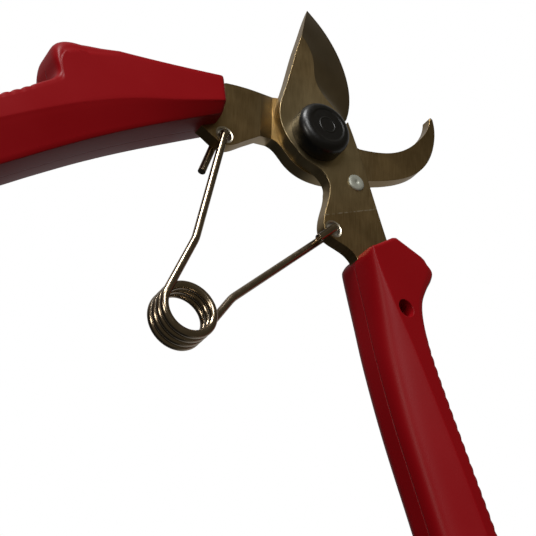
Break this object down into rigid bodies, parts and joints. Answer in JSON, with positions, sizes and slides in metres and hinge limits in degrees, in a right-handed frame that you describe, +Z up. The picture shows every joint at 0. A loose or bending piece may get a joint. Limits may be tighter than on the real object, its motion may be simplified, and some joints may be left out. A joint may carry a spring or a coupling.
{
  "type": "pruning shears",
  "caption": "Sprung bypass pruning shears lying open: a leaf-shaped cutting blade, a hooked counter blade, a capped pivot, a coil spring and faceted red grips.",
  "frame": {"origin": "on the pivot axis, at the underside of the pivot bolt's head, which is in the plane the shears lie on", "axes": "+Z up along the pivot towards its cap, +Y from the pivot along the cutting blade, +X to the side that the hook blade is on"},
  "size_m": [0.1953, 0.2311, 0.018],
  "materials": {
    "blade_steel": "satin champagne-bronze coated steel, brighter on its bevelled edges",
    "fastener_steel": "satin bright steel",
    "bushing_brass": "plain turned",
    "cap_plastic": "black, half gloss",
    "spring_wire": "polished wire with a warm bronze tint",
    "grip_plastic": "deep red moulded plastic, half gloss"
  },
  "bodies": {
    "cutting_side": {"cutting_blade": "blade_steel", "cutting_grip": "grip_plastic", "pivot_bolt": "fastener_steel", "pivot_bushing": "bushing_brass", "flat_washer": "fastener_steel", "disc_spring": "fastener_steel", "pivot_nut": "fastener_steel", "pivot_cap": "cap_plastic", "stop_rivet": "fastener_steel", "catch_pin": "fastener_steel"},
    "hook_side": {"hook_blade": "blade_steel", "hook_grip": "grip_plastic", "catch_post": "fastener_steel"},
    "spring_cutting_half": {"spring_cutting_leg": "spring_wire"},
    "spring_hook_half": {"spring_coil": "spring_wire", "spring_hook_leg": "spring_wire"},
    "catch": {"catch_strap": "fastener_steel"}
  },
  "joints": [
    {"name": "pivot", "type": "hinge", "parent": "cutting_side", "child": "hook_side", "pos_m": [0, 0, 0.005], "axis": [0, 0, 1], "range_deg": [0, 62], "stiffness_Nm_per_rad": 0.8, "springref_deg": -20.05},
    {"name": "spring_eye", "type": "hinge", "parent": "cutting_side", "child": "spring_cutting_half", "pos_m": [0.0061, -0.0318, 0.009], "axis": [0, 0, 1], "range_deg": [0, 50]},
    {"name": "coil_flex", "type": "hinge", "parent": "spring_cutting_half", "child": "spring_hook_half", "pos_m": [-0.0386, -0.0741, 0.009], "axis": [0, 0, 1], "range_deg": [-31.5, 0], "deforming": ["spring_coil"]},
    {"name": "catch_swing", "type": "hinge", "parent": "cutting_side", "child": "catch", "pos_m": [0.0505, -0.136, 0.009], "axis": [0, 0, -1], "range_deg": [0, 35]}
  ],
  "couplings": [
    {"joint": "spring_eye", "follows": "pivot", "ratio": 0.803},
    {"joint": "coil_flex", "follows": "pivot", "ratio": -0.502}
  ]
}
